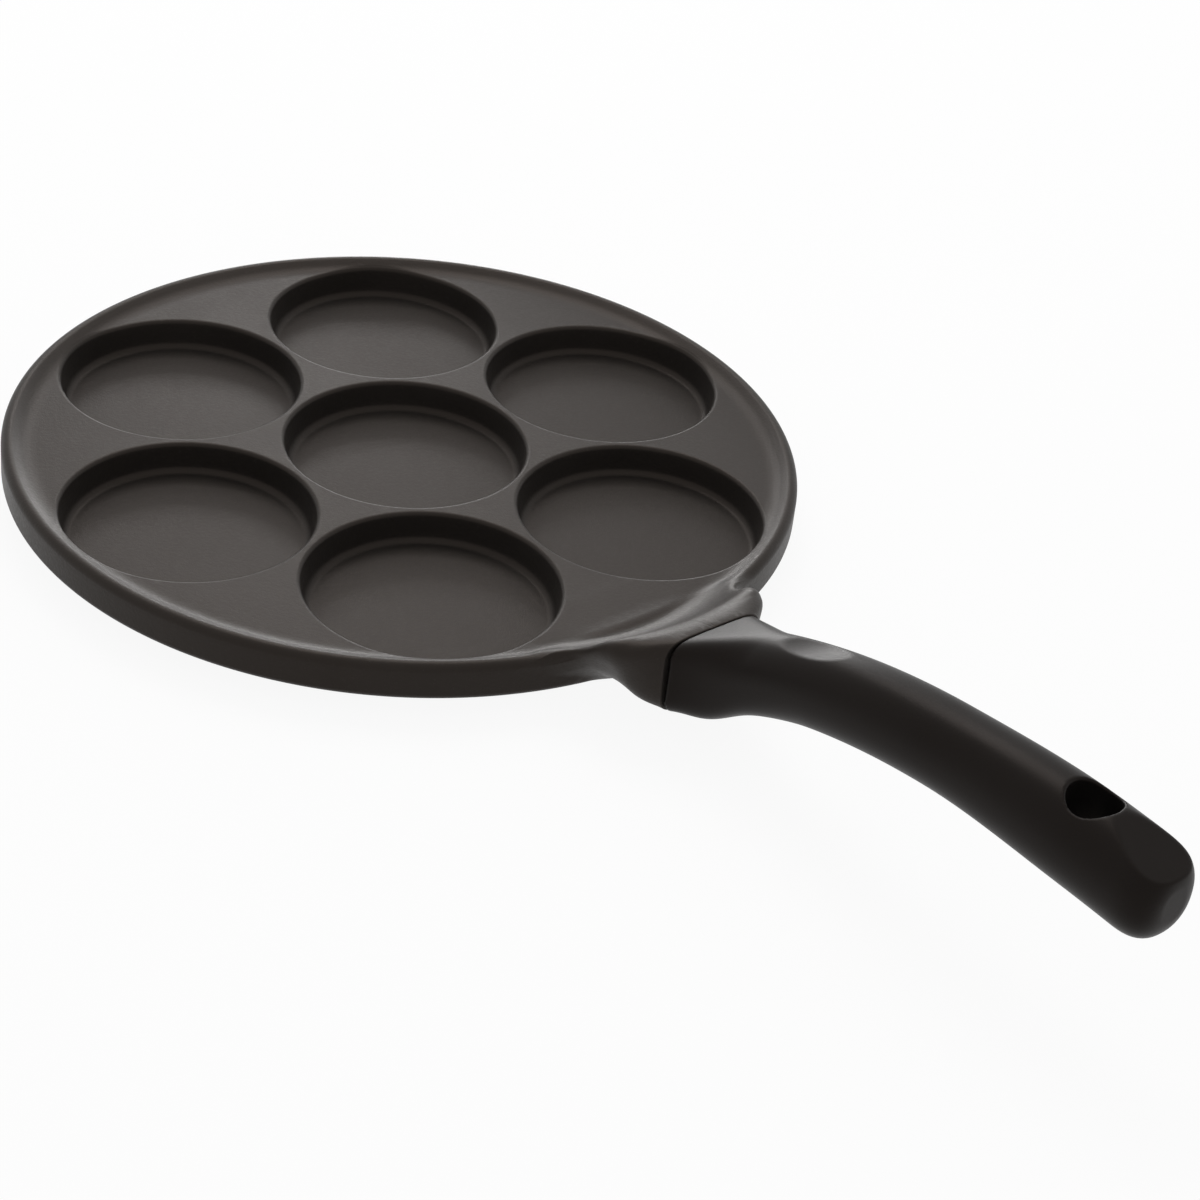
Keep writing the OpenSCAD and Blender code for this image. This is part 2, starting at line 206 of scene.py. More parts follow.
def top_z(xy):
    """The height of the casting's upper skin over each point in plan."""
    o = np.column_stack([xy, np.full(len(xy), UNDER_DECK)])
    d = np.tile([0.0, 0.0, 1.0], (len(xy), 1))
    return UNDER_DECK + root_find(casting, o, d, REACH)


def resample(points, count, reach, bend):
    """Rows of points along each column: even by length over reach plus turning over bend."""
    out = np.empty((len(points), count, 3))
    for j, line in enumerate(points):
        seg = np.diff(line, axis=0)
        length = np.linalg.norm(seg, axis=1)
        keep = np.concatenate([[True], length > 1e-6])
        line = line[keep]
        seg = np.diff(line, axis=0)
        length = np.linalg.norm(seg, axis=1)
        way = seg / length[:, None]
        turn = np.arccos(np.clip((way[1:] * way[:-1]).sum(1), -1, 1))
        turn = np.minimum(turn, 0.5)
        cost = length / reach
        cost[:-1] += turn / bend / 2
        cost[1:] += turn / bend / 2
        s = np.concatenate([[0], np.cumsum(cost)])
        smooth = np.linspace(0, s[-1], count)
        for c in range(3):
            out[j, :, c] = np.interp(smooth, s, line[:, c])
    return out


def fan_edge(x, y):
    return both(either(np.hypot(x, y) - FAN_R, np.abs(y) - 12, 34), x - NOSE_FAN, 11)


def fan_slope(p, h=1e-4):
    x, y = p
    rise = [fan_edge(x + h, y) - fan_edge(x - h, y), fan_edge(x, y + h) - fan_edge(x, y - h)]
    return np.array(rise) / (2 * h)


def column_path():
    """The line in plan that the outer skin is fanned out from, nose to back, for y at or above 0."""
    p = np.array([NOSE_FAN, 0.0])
    pts, ways = [], []
    end = math.radians(30)
    while math.atan2(p[1], p[0]) < end:
        g = fan_slope(p)
        g /= np.linalg.norm(g)
        pts.append(p.copy())
        ways.append(g)
        p = p + 0.85 * np.array([-g[1], g[0]])
        for _ in range(4):
            g = fan_slope(p)
            p = p - fan_edge(*p) * g / (g @ g)
    end = math.atan2(p[1], p[0])
    count = int(round((math.pi - end) / 0.0125))
    ang = end + (math.pi - end) * np.arange(0, count + 1) / count
    circle = np.column_stack([np.cos(ang), np.sin(ang)])
    path = np.vstack([pts, circle * np.linalg.norm(p)])
    return path, np.vstack([ways, circle]), np.arctan2(path[:, 1], path[:, 0])


def casting_mesh():
    path, normal, inner = column_path()
    m = len(path)
    spoke = np.column_stack([np.cos(inner), np.sin(inner)])
    s_in, s_out = 125.0 * spoke, 112.0 * spoke
    level = np.full(m, MID_Z)
    # The fan's height rises from the middle of the plate to the middle of the neck
    level += 6.5 * ease((np.hypot(path[:, 0], path[:, 1]) - FAN_R - 0.1) / 2.4)
    n_top, n_fan, n_low = 150, 260, 60
    up = np.array([0.0, 0.0, 1.0])
    t = np.linspace(0, 1, n_top, endpoint=False)
    o = s_in[:, None, :] * (1 - t)[None, :, None] + path[:, None, :] * t[None, :, None]
    z0 = UNDER_DECK + (level - UNDER_DECK)[:, None] * t[None, :]
    o = np.dstack([o, z0]).reshape(-1, 3)
    d = np.tile(up, (len(o), 1))
    top = (o + d * root_find(casting, o, d, REACH)[:, None]).reshape(m, n_top, 3)
    ang = np.linspace(math.pi / 2, -math.pi / 2, n_fan)
    out = np.cos(ang)[None, :]
    d = np.dstack([normal[:, None, 0] * out, normal[:, None, 1] * out, np.tile(np.sin(ang), (m, 1))]).reshape(-1, 3)
    o = np.repeat(np.column_stack([path, level]), n_fan, axis=0)
    fan = (o + d * march(casting, o, d, REACH, 60)[:, None]).reshape(m, n_fan, 3)
    t = np.linspace(0, 1, n_low + 1)[1:]
    o = path[:, None, :] * (1 - t)[None, :, None] + s_out[:, None, :] * t[None, :, None]
    o = np.dstack([o, level[:, None] + (MID_Z - level)[:, None] * t[None, :]]).reshape(-1, 3)
    d = np.tile(-up, (len(o), 1))
    low = (o + d * root_find(casting, o, d, 25.0)[:, None]).reshape(m, n_low, 3)
    low[:, :, 2] = np.maximum(low[:, :, 2], 0)
    cols = resample(np.concatenate([top, fan, low], axis=1), COLUMN_ROWS, 5.0, math.radians(7))
    # The other half is the mirror image
    cols = np.concatenate([cols, (cols[1:-1] * [1, -1, 1])[::-1]])
    M, K = cols.shape[:2]
    verts = [cols.reshape(-1, 3)]
    faces = []
    for j in range(M):
        a, b = j * K, ((j + 1) % M) * K
        for i in range(K - 1):
            faces.append((a + i, a + i + 1, b + i + 1, b + i))
    total = M * K

    # Wells: rings from the deck over the lip, down the wall, round the fillet and across the floor
    floor = DECK - WELL_DEPTH

    def wall(z):
        return WELL_R - WELL_EDGE - (DECK - WELL_EDGE - z) * math.tan(DRAFT)

    lip_c = (wall(DECK - LIP) + LIP / math.cos(DRAFT), DECK - LIP)
    fillet_c = (wall(floor) - WELL_FILLET * math.tan((math.pi / 2 - DRAFT) / 2), floor + WELL_FILLET)
    rings = [(WELL_OUT, DECK, 1.0), (WELL_NEXT, DECK, 1.0)]
    for k in range(9):
        a = math.pi / 2 + (math.pi / 2 - DRAFT) * k / 8
        rings.append((lip_c[0] + LIP * math.cos(a), lip_c[1] + LIP * math.sin(a), 1.0 - 0.05 * k))
    for k in range(1, 5):
        z = lip_c[1] + LIP * math.sin(math.pi - DRAFT)
        z1 = fillet_c[1] - WELL_FILLET * math.sin(DRAFT)
        zz = z + (z1 - z) * k / 5
        rings.append((wall(zz), zz, 0.6 * (1 - k / 4)))
    for k in range(9):
        a = -DRAFT - (math.pi / 2 - DRAFT) * k / 8
        rings.append((fillet_c[0] + WELL_FILLET * math.cos(a), fillet_c[1] + WELL_FILLET * math.sin(a), 0.0))
    rings += [(35.8, floor, 0), (27.0, floor, 0), (17.0, floor, 0), (7.0, floor, 0)]
    N = WELL_POINTS
    a = 2 * math.pi * np.arange(N) / N
    turns = [math.radians(30 + 60 * k) for k in range(6)]
    centres = [(0.0, 0.0)] + [(RING_R * math.cos(t), RING_R * math.sin(t)) for t in turns]
    bounds = []
    for cx, cy in centres:
        first = total
        ring_pts = []
        outer = np.column_stack([cx + WELL_OUT * np.cos(a), cy + WELL_OUT * np.sin(a)])
        lift = np.maximum(top_z(outer) - DECK, 0)
        for rho, z, w in rings:
            xy = np.column_stack([cx + rho * np.cos(a), cy + rho * np.sin(a)])
            if w == 1.0:
                zz = top_z(xy)
            else:
                zz = z + w * lift * 0.75
            ring_pts.append(np.column_stack([xy, zz]))
        block = np.array(ring_pts)
        verts.append(block.reshape(-1, 3))
        for i in range(len(rings) - 1):
            for j in range(N):
                k = (j + 1) % N
                p, q = first + i * N, first + (i + 1) * N
                faces.append((p + j, p + k, q + k, q + j))
        faces.append(tuple(first + (len(rings) - 1) * N + j for j in range(N)))
        bounds.append((first, outer))
        total += block.shape[0] * N

    # Deck and flank between the wells and the rim, over the shared edges
    ring0 = cols[:, 0, :2]
    flat, owner, edges = [], [], []
    for j in range(M):
        flat.append(ring0[j])
        owner.append(j * K)
        edges.append((j, (j + 1) % M))
    for first, outer in bounds:
        base = len(flat)
        for j in range(N):
            flat.append(outer[j])
            owner.append(first + j)
            edges.append((base + j, base + (j + 1) % N))
    extra, spokes = [], np.arctan2(ring0[::2, 1], ring0[::2, 0])

    def clear(x, y, gap):
        return all(math.hypot(x - cx, y - cy) > WELL_OUT + gap for cx, cy in centres)

    for r in DECK_RINGS:
        last = None
        for k in range(len(spokes) + 1):
            a = spokes[k % len(spokes)]
            q = (r * math.cos(a), r * math.sin(a))
            if not clear(*q, 0.35):
                last = None
                continue
            if k < len(spokes):
                extra.append(q)
                here = len(flat) + len(extra) - 1
            else:
                here = first_here
            if k == 0:
                first_here = here
            if last is not None and here is not None:
                edges.append((last, here))
            last = here
            if k == 0 and last is None:
                first_here = None
    for i in range(-50, 51):
        for j in range(-50, 51):
            q = ((i + 0.5 * (j % 2)) * DECK_STEP, j * DECK_ROW)
            if math.hypot(*q) < DECK_R and clear(*q, 1.2):
                extra.append(q)
    for p in extra:
        flat.append(np.array(p))
        owner.append(-1)
    new_z = top_z(np.array(extra))
    got = delaunay_2d_cdt([Vector((float(p[0]), float(p[1]))) for p in flat], edges, [], 0, 1e-6, True)
    ids = []
    grown = []
    for v, source in zip(got[0], got[3]):
        src = [s for s in source if s < len(flat)]
        known = [owner[s] for s in src if owner[s] >= 0]
        if known:
            ids.append(known[0])
        else:
            ids.append(total + len(grown))
            grown.append((v.x, v.y, new_z[src[0] - (len(flat) - len(extra))]))
    verts.append(np.array(grown))
    inside_r = WELL_OUT * math.cos(math.pi / N) - 1e-4
    for tri in got[2]:
        c = sum((got[0][i] for i in tri), Vector((0, 0))) / len(tri)
        if any(math.hypot(c.x - cx, c.y - cy) < inside_r for cx, cy in centres):
            continue
        faces.append(tuple(ids[i] for i in tri))
    total += len(grown)
    # Underside: one flat disc inside the last row
    rim = [j * K + K - 1 for j in range(M)]
    ring = cols[:, -1, :].copy()
    for r in (80.0, 40.0):
        nxt = ring * (r / np.linalg.norm(ring[:, :2], axis=1))[:, None]
        nxt[:, 2] = 0
        verts.append(nxt)
        new = list(range(total, total + M))
        total += M
        for j in range(M):
            k = (j + 1) % M
            faces.append((rim[j], new[j], new[k], rim[k]))
        rim = new
    faces.append(tuple(reversed(rim)))
    return np.vstack(verts), faces


# ---------------------------------------------------------------- the handle
def bezier_z():
    r, t = math.radians(ROOT_SLOPE), math.radians(TIP_SLOPE)
    p = np.array(
        [
            [JOINT_X, JOINT_Z],
            [JOINT_X + ROOT_ARM * math.cos(r), JOINT_Z + ROOT_ARM * math.sin(r)],
            [TIP_X - TIP_ARM * math.cos(t), JOINT_Z + HANDLE_RISE - TIP_ARM * math.sin(t)],
            [TIP_X, JOINT_Z + HANDLE_RISE],
        ]
    )
    s = np.linspace(0, 1, 2001)[:, None]
    q = (1 - s) ** 3 * p[0] + 3 * (1 - s) ** 2 * s * p[1] + 3 * (1 - s) * s * s * p[2] + s**3 * p[3]
    return q[:, 0], q[:, 1]


CURVE_X, CURVE_Z = bezier_z()


def grip(x):
    """Half width, lowest and highest height of the grip's section at x."""
    shrink = np.maximum(1 - unit((x - TIP_X + 0.4 + TIP_ROUND) / TIP_ROUND) ** 3, 1e-6) ** (1 / 3)
    fall = np.exp(-(x - JOINT_X) / ROOT_FLARE)
    swell = ease((x - JOINT_X - (HANDLE_LEN - 80)) / 50)
    w = shrink * (GRIP_W + (JOINT_W - GRIP_W) * fall + SWELL_W * swell)
    h = shrink / 2 * (GRIP_H + (JOINT_H - GRIP_H) * fall + SWELL_H * swell)
    z = np.interp(x, CURVE_X, CURVE_Z)
    belly = BELLY * np.exp(-(((x - JOINT_X - BELLY_X) / BELLY_LEN) ** 2))
    return w, z - h - belly, z + h


def grip_skin(x, y, z):
    w, low, high = grip(x)
    n_low = SQ_ROOT + (SQ_GRIP - SQ_ROOT) * ease((x - JOINT_X) / SQ_LOW)
    n_high = SQ_ROOT + (SQ_GRIP - SQ_ROOT) * ease((x - JOINT_X) / SQ_TOP)
    return squared(np.abs(y) - w, w, z, low, high, np.where(z < (low + high) / 2, n_low, n_high))


def tang_coords(x, z):
    u, v = x - JOINT_X, z - JOINT_Z
    return u * math.cos(TILT) + v * math.sin(TILT), -u * math.sin(TILT) + v * math.cos(TILT)


def box_field(u, y, v, u0, u1, half_y, v0, v1):
    du = np.maximum(u0 - u, u - u1)
    dy = np.abs(y) - half_y
    dv = np.maximum(v0 - v, v - v1)
    return np.maximum(np.maximum(du, dy), dv)


def handle_field(x, y, z):
    f = grip_skin(x, y, z)
    bevel_x = TIP_X - BEVEL_LEN
    bevel_z = float(grip(np.array([bevel_x]))[2][0])
    plane = (x - bevel_x) * math.sin(BEVEL) + (z - bevel_z) * math.cos(BEVEL)
    f = soft_both(f, plane, 0.5)
    f = soft_both(f, x - TIP_X + 0.75, 0.8)
    # Thumb dish
    dx = JOINT_X + DISH_X
    tops = grip(np.array([dx - 1, dx, dx + 1]))[2]
    slope = math.atan2(tops[2] - tops[0], 2)
    lift = DISH_BALL - DISH_DEPTH
    ball_x, ball_z = x - dx + math.sin(slope) * lift, z - tops[1] - math.cos(slope) * lift
    ball = DISH_BALL - np.sqrt(ball_x**2 + y * y + ball_z**2)
    f = soft_both(f, ball, 0.45)
    f = both(f, HANDLE_START - x, 0.5)
    f = both(f, HOLE_R - np.hypot(x - HOLE_X, y), 0.8)
    u, v = tang_coords(x, z)
    end, side, roof = TANG_LEN + TANG_GAP, TANG_W / 2 + TANG_GAP, TANG_LOW + TANG_T + TANG_GAP
    f = np.maximum(f, -box_field(u, y, v, -10.0, end, side, TANG_LOW, roof))
    rad = np.hypot(u - SCREW_AT, y)
    seat = v - (TANG_LOW - SEAT_WALL)
    recess = np.maximum(rad - RECESS_R, np.maximum(seat, -14 - seat))
    f = both(f, -recess, 0.5)
    return np.maximum(f, -np.maximum(rad - SHANK_R, np.maximum(-1 - seat, seat - SEAT_WALL - 1)))


def net(field, low, high, step, relax=6):
    """Quads on the zero level of field: one point in each cell that the skin passes, then pulled onto the skin."""
    axes = [np.arange(a - step, b + 2 * step, step) for a, b in zip(low, high)]
    n = [len(a) for a in axes]
    F = np.empty(n, np.float32)
    for i0 in range(0, n[0], 24):
        X, Y, Z = np.meshgrid(axes[0][i0 : i0 + 24], axes[1], axes[2], indexing="ij")
        F[i0 : i0 + 24] = field(X, Y, Z)
    S = F < 0
    cell = np.zeros([k - 1 for k in n], np.uint8)
    for a in (0, 1):
        for b in (0, 1):
            for c in (0, 1):
                cell += S[a : n[0] - 1 + a, b : n[1] - 1 + b, c : n[2] - 1 + c]
    on = (cell > 0) & (cell < 8)
    idx = np.full(on.shape, -1, np.int64)
    I, J, K = np.nonzero(on)
    idx[I, J, K] = np.arange(len(I))
    total = np.zeros((len(I), 3))
    count = np.zeros(len(I))
    corners = [(a, b, c) for a in (0, 1) for b in (0, 1) for c in (0, 1)]
    for p in corners:
        for ax in range(3):
            if p[ax]:
                continue
            q = list(p)
            q[ax] = 1
            f0 = F[I + p[0], J + p[1], K + p[2]].astype(float)
            f1 = F[I + q[0], J + q[1], K + q[2]].astype(float)
            cross = (f0 < 0) != (f1 < 0)
            t = np.where(cross, f0 / np.where(cross, f0 - f1, 1), 0)
            w = np.tile(np.array(p, float), (len(I), 1))
            w[:, ax] = t
            total[cross] += w[cross]
            count[cross] += 1
    total /= count[:, None]
    P = np.column_stack([axes[k][v] for k, v in enumerate((I, J, K))]) + total * step
    quads = []
    for ax in range(3):
        o1, o2 = [k for k in range(3) if k != ax]
        A = S[tuple(slice(None, -1) if k == ax else slice(None) for k in range(3))]
        B = S[tuple(slice(1, None) if k == ax else slice(None) for k in range(3))]
        E = np.argwhere(A != B)
        E = E[(E[:, o1] > 0) & (E[:, o2] > 0) & (E[:, o1] < n[o1] - 1) & (E[:, o2] < n[o2] - 1)]
        e1, e2 = np.zeros(3, int), np.zeros(3, int)
        e1[o1], e2[o2] = 1, 1
        c = [idx[tuple((E - s).T)] for s in (0 * e1, e1, e1 + e2, e2)]
        q = np.column_stack(c)
        flip = A[tuple(E.T)]
        if ax == 1:
            flip = ~flip
        q[flip] = q[flip][:, ::-1]
        quads.append(q)
    quads = np.vstack(quads)[:, ::-1]

    def pull(P, times):
        h = 0.02
        for _ in range(times):
            f = field(P[:, 0], P[:, 1], P[:, 2])
            g = np.column_stack(
                [
                    (field(P[:, 0] + h, P[:, 1], P[:, 2]) - field(P[:, 0] - h, P[:, 1], P[:, 2])) / (2 * h),
                    (field(P[:, 0], P[:, 1] + h, P[:, 2]) - field(P[:, 0], P[:, 1] - h, P[:, 2])) / (2 * h),
                    (field(P[:, 0], P[:, 1], P[:, 2] + h) - field(P[:, 0], P[:, 1], P[:, 2] - h)) / (2 * h),
                ]
            )
            g2 = np.maximum((g * g).sum(1), 0.05)
            move = -(f / g2)[:, None] * g
            size = np.linalg.norm(move, axis=1)[:, None]
            P = P + move * np.minimum(1, 0.6 * step / np.maximum(size, 1e-9))
        return P

    edges = np.vstack([quads[:, [0, 1]], quads[:, [1, 2]], quads[:, [2, 3]], quads[:, [3, 0]]])
    P = pull(P, 2)
    for _ in range(relax):
        total = np.zeros_like(P)
        count = np.zeros(len(P))
        np.add.at(total, edges[:, 0], P[edges[:, 1]])
        np.add.at(count, edges[:, 0], 1)
        np.add.at(total, edges[:, 1], P[edges[:, 0]])
        np.add.at(count, edges[:, 1], 1)
        P = pull(P + 0.5 * (total / count[:, None] - P), 1)
    return pull(P, 3), quads


# ---------------------------------------------------------------- making objects
def make(name, verts, faces):
    """An object from points in millimetres."""
    mesh = bpy.data.meshes.new(name)
    points = [tuple(v) for v in (np.asarray(verts) * 0.001).tolist()]
    mesh.from_pydata(points, [], [tuple(int(i) for i in f) for f in faces])
    mesh.validate()
    mesh.shade_smooth()
    obj = bpy.data.objects.new(name, mesh)
    bpy.context.scene.collection.objects.link(obj)
    return obj


def tang_place(u, y, v):
    """A point of the tilted tang in the pan's own frame, in metres."""
    x = JOINT_X + u * math.cos(TILT) - v * math.sin(TILT)
    return Vector((x, y, JOINT_Z + u * math.sin(TILT) + v * math.cos(TILT))) * 0.001


def add_tang(bm, outer):
    """The tongue in the handle, with chamfered edges and the screw's hole, and the flat face from it to outer."""
    c, corner, half = 0.8, 3.0, TANG_W / 2
    v0, v1 = TANG_LOW, TANG_LOW + TANG_T

    def row(inset, v):
        root = (NECK_END - JOINT_X + v * math.sin(TILT)) / math.cos(TILT)
        turn = [math.pi / 2 * k / 6 for k in range(7)]
        u, y, r = TANG_LEN - corner, half - corner, corner - inset
        line = [(root, half - inset)] + [(u + r * math.sin(a), y + r * math.cos(a)) for a in turn]
        return line + [(q[0], -q[1]) for q in reversed(line)]

    levels = [(c, v1), (0.0, v1 - c), (0.0, v0 + c), (c, v0)]
    rows = [[bm.verts.new(tang_place(u, y, v)) for u, y in row(inset, v)] for inset, v in levels]
    for a, b in zip(rows, rows[1:]):
        for k in range(len(a) - 1):
            bm.faces.new((a[k], a[k + 1], b[k + 1], b[k]))
    turn = [2 * math.pi * k / 24 for k in range(24)]
    hole = [(SCREW_AT + SHANK_R * math.cos(a), SHANK_R * math.sin(a)) for a in turn]
    rings = []
    for loop, v in ((rows[0], v1), (rows[3], v0)):
        ring = [bm.verts.new(tang_place(u, y, v)) for u, y in hole]
        fill(bm, loop, ring, [Vector(q) for q in row(c, v)] + [Vector(q) for q in hole])
        rings.append(ring)
    for k in range(24):
        n = (k + 1) % 24
        bm.faces.new((rings[0][k], rings[0][n], rings[1][n], rings[1][k]))
    inner = [r[0] for r in rows] + [r[-1] for r in reversed(rows)]
    fill(bm, outer, inner, [Vector((v.co.y, v.co.z)) * 1000 for v in outer + inner])


def encloses(loop, p):
    """Whether point p is inside the closed loop of points in the plane."""
    odd = False
    for a, b in zip(loop, loop[1:] + loop[:1]):
        if (a.y > p.y) != (b.y > p.y) and p.x < a.x + (b.x - a.x) * (p.y - a.y) / (b.y - a.y):
            odd = not odd
    return odd


def fill(bm, outer, inner, flat):
    """Triangles between an outer and an inner loop, whose points in the plane are flat."""
    n, m = len(outer), len(inner)
    edges = [(k, (k + 1) % n) for k in range(n)] + [(n + k, n + (k + 1) % m) for k in range(m)]
    got = delaunay_2d_cdt(flat, edges, [], 1, 1e-7, True)
    for tri in got[2]:
        ids = [got[3][i][0] for i in tri]
        c = sum((flat[i] for i in ids), Vector((0, 0))) / 3
        if encloses(flat[:n], c) and not encloses(flat[n:], c):
            bm.faces.new([(outer + inner)[i] for i in ids])


def cut_neck(obj):
    """Cuts the nose off flat at the joint, with a rounded edge, and adds the tang."""
    bm = bmesh.new()
    bm.from_mesh(obj.data)
    geom = bm.verts[:] + bm.edges[:] + bm.faces[:]
    start = NECK_END - END_ROUND
    at = (start * 0.001, 0, 0)
    bmesh.ops.bisect_plane(bm, geom=geom, dist=1e-7, plane_co=at, plane_no=(1, 0, 0), clear_outer=True)
    loop = [e for e in bm.edges if e.is_boundary]
    # The points are listed in a fixed order, so that each run merges the same ones
    ends = list(dict.fromkeys(v for e in loop for v in e.verts))
    bmesh.ops.remove_doubles(bm, verts=ends, dist=2e-5)
    line = [next(e for e in bm.edges if e.is_boundary).verts[0]]
    while True:
        ahead = [e.other_vert(line[-1]) for e in line[-1].link_edges if e.is_boundary]
        ahead = [v for v in ahead if v not in line[-2:]]
        if not ahead or ahead[0] is line[0]:
            break
        line.append(ahead[0])
    yz = np.array([(v.co.y, v.co.z) for v in line]) * 1000
    x, h = np.full(len(line), start), 0.01
    y, z = yz.T
    along_y = casting(x, y + h, z) - casting(x, y - h, z)
    along_z = casting(x, y, z + h) - casting(x, y, z - h)
    g = np.column_stack([along_y, along_z])
    g /= np.linalg.norm(g, axis=1)[:, None]
    for k in range(1, 5):
        a = math.pi / 8 * k
        place = yz - g * END_ROUND * (1 - math.cos(a))
        x = start + END_ROUND * math.sin(a)
        ring = [bm.verts.new(Vector((x, y, z)) * 0.001) for y, z in place.tolist()]
        for i in range(len(line)):
            j = (i + 1) % len(line)
            bm.faces.new((line[i], line[j], ring[j], ring[i]))
        line = ring
    add_tang(bm, line)
    for f in bm.faces:
        f.smooth = f.calc_center_median().x < NECK_END * 0.001 - 1e-6
    bmesh.ops.recalc_face_normals(bm, faces=bm.faces[:])
    bm.to_mesh(obj.data)
    bm.free()


verts, faces = casting_mesh()
pan = make("pan_casting", verts, faces)
cut_neck(pan)

P, quads = net(handle_field, (HANDLE_START, -17.9, 6.0), (TIP_X, 17.9, 66.5), 0.6)
grip_obj = make("handle_moulding", P, quads)

for obj, node, slot in ((pan, "pan_body", "casting_coating"), (grip_obj, "handle", "phenolic")):
    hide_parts(node)
    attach(obj, "root")


# ---------------------------------------------------------------- materials
def principled(name):
    mat = bpy.data.materials.new(name)
    mat.use_nodes = True
    nt = mat.node_tree
    bsdf = nt.nodes["Principled BSDF"]
    return mat, nt, bsdf


def node(nt, kind, **values):
    n = nt.nodes.new(kind)
    for key, value in values.items():
        if key in n.inputs:
            n.inputs[key].default_value = value
        else:
            setattr(n, key, value)
    return n


def noise(nt, coords, scale, detail=3.0, rough=0.5):
    n = node(nt, "ShaderNodeTexNoise", Scale=scale, Detail=detail, Roughness=rough)
    nt.links.new(coords, n.inputs["Vector"])
    return n.outputs["Fac"]


def remap(nt, value, low, high, to_low, to_high):
    n = node(nt, "ShaderNodeMapRange")
    for key, v in (("From Min", low), ("From Max", high), ("To Min", to_low), ("To Max", to_high)):
        n.inputs[key].default_value = v
    nt.links.new(value, n.inputs["Value"])
    return n.outputs["Result"]


def blend(nt, fac, a, b):
    n = node(nt, "ShaderNodeMix", data_type="RGBA")
    nt.links.new(fac, n.inputs["Factor"])
    for socket, colour in ((n.inputs[6], a), (n.inputs[7], b)):
        if isinstance(colour, tuple):
            socket.default_value = colour
        else:
            nt.links.new(colour, socket)
    return n.outputs[2]


def calc(nt, a, b, how="ADD"):
    n = node(nt, "ShaderNodeMath", operation=how)
    for socket, v in zip(n.inputs, (a, b)):
        if isinstance(v, (int, float)):
            socket.default_value = v
        else:
            nt.links.new(v, socket)
    return n.outputs[0]


def bump(nt, bsdf, height, distance, strength=1.0):
    n = node(nt, "ShaderNodeBump", Strength=strength, Distance=distance)
    nt.links.new(height, n.inputs["Height"])
    nt.links.new(n.outputs["Normal"], bsdf.inputs["Normal"])


def dark_coating():
    """Satin non-stick coating: a warm near-black with soft cloudy mottling, fine grain and a paler tint along sharp
    convex edges.
    """
    mat, nt, bsdf = principled("casting_coating")
    coords = node(nt, "ShaderNodeTexCoord").outputs["Object"]
    cloud = noise(nt, coords, 22.0, 4.0, 0.55)
    speck = noise(nt, coords, 900.0, 2.0, 0.6)
    grain = noise(nt, coords, 2600.0, 2.0, 0.6)
    dark, pale = (0.0148, 0.013, 0.0117, 1), (0.0188, 0.0167, 0.0152, 1)
    base = blend(nt, remap(nt, cloud, 0.3, 0.7, 0.0, 1.0), dark, pale)
    base = blend(nt, remap(nt, speck, 0.62, 0.78, 0.0, 0.5), base, (0.03, 0.0272, 0.0252, 1))
    # Sharp convex edges (high pointiness) are blended towards a paler colour, in patches set by the cloud
    edge = node(nt, "ShaderNodeNewGeometry").outputs["Pointiness"]
    edge_pale = calc(nt, remap(nt, edge, 0.56, 0.66, 0.0, 0.5), remap(nt, cloud, 0.35, 0.65, 0.4, 1.0), "MULTIPLY")
    base = blend(nt, edge_pale, base, (0.05, 0.0465, 0.044, 1))
    nt.links.new(base, bsdf.inputs["Base Color"])
    rough = calc(nt, remap(nt, cloud, 0.3, 0.7, 0.4, 0.45), remap(nt, speck, 0.3, 0.7, -0.04, 0.04))
    nt.links.new(rough, bsdf.inputs["Roughness"])
    bump(nt, bsdf, calc(nt, grain, calc(nt, speck, 1.5, "MULTIPLY")), 0.00006, 0.6)
    bsdf.inputs["Specular IOR Level"].default_value = 0.19
    bsdf.inputs["Specular Tint"].default_value = (1.0, 0.8, 0.68, 1)
    return mat


def phenolic():
    """Moulded phenolic: near-black with a faint warm cloudiness and a fine spark-eroded grain."""
    mat, nt, bsdf = principled("phenolic")
    coords = node(nt, "ShaderNodeTexCoord").outputs["Object"]
    cloud = noise(nt, coords, 30.0, 4.0, 0.55)
    grain = noise(nt, coords, 1500.0, 3.0, 0.6)
    dark, pale = (0.0068, 0.0058, 0.0054, 1), (0.0088, 0.0077, 0.0072, 1)
    base = blend(nt, remap(nt, cloud, 0.3, 0.7, 0.0, 1.0), dark, pale)
    base = blend(nt, remap(nt, grain, 0.6, 0.75, 0.0, 0.4), base, (0.0125, 0.0112, 0.0105, 1))
    nt.links.new(base, bsdf.inputs["Base Color"])
    rough = calc(nt, remap(nt, cloud, 0.3, 0.7, 0.34, 0.4), remap(nt, grain, 0.3, 0.7, -0.02, 0.03))
    nt.links.new(rough, bsdf.inputs["Roughness"])
    bump(nt, bsdf, grain, 0.00005, 0.35)
    bsdf.inputs["Specular IOR Level"].default_value = 0.1
    bsdf.inputs["Specular Tint"].default_value = (1.0, 0.82, 0.72, 1)
    return mat


def zinc_steel():
    """Bright zinc-plated steel with fine turning marks."""
    mat, nt, bsdf = principled("zinc_steel")
    coords = node(nt, "ShaderNodeTexCoord").outputs["Object"]
    cloud = noise(nt, coords, 400.0, 3.0, 0.6)
    marks = noise(nt, coords, 5000.0, 2.0, 0.5)
    nt.links.new(blend(nt, cloud, (0.5, 0.51, 0.52, 1), (0.62, 0.62, 0.61, 1)), bsdf.inputs["Base Color"])
    bsdf.inputs["Metallic"].default_value = 1.0
    nt.links.new(remap(nt, cloud, 0.3, 0.7, 0.26, 0.4), bsdf.inputs["Roughness"])
    bump(nt, bsdf, marks, 0.00002, 0.3)
    return mat


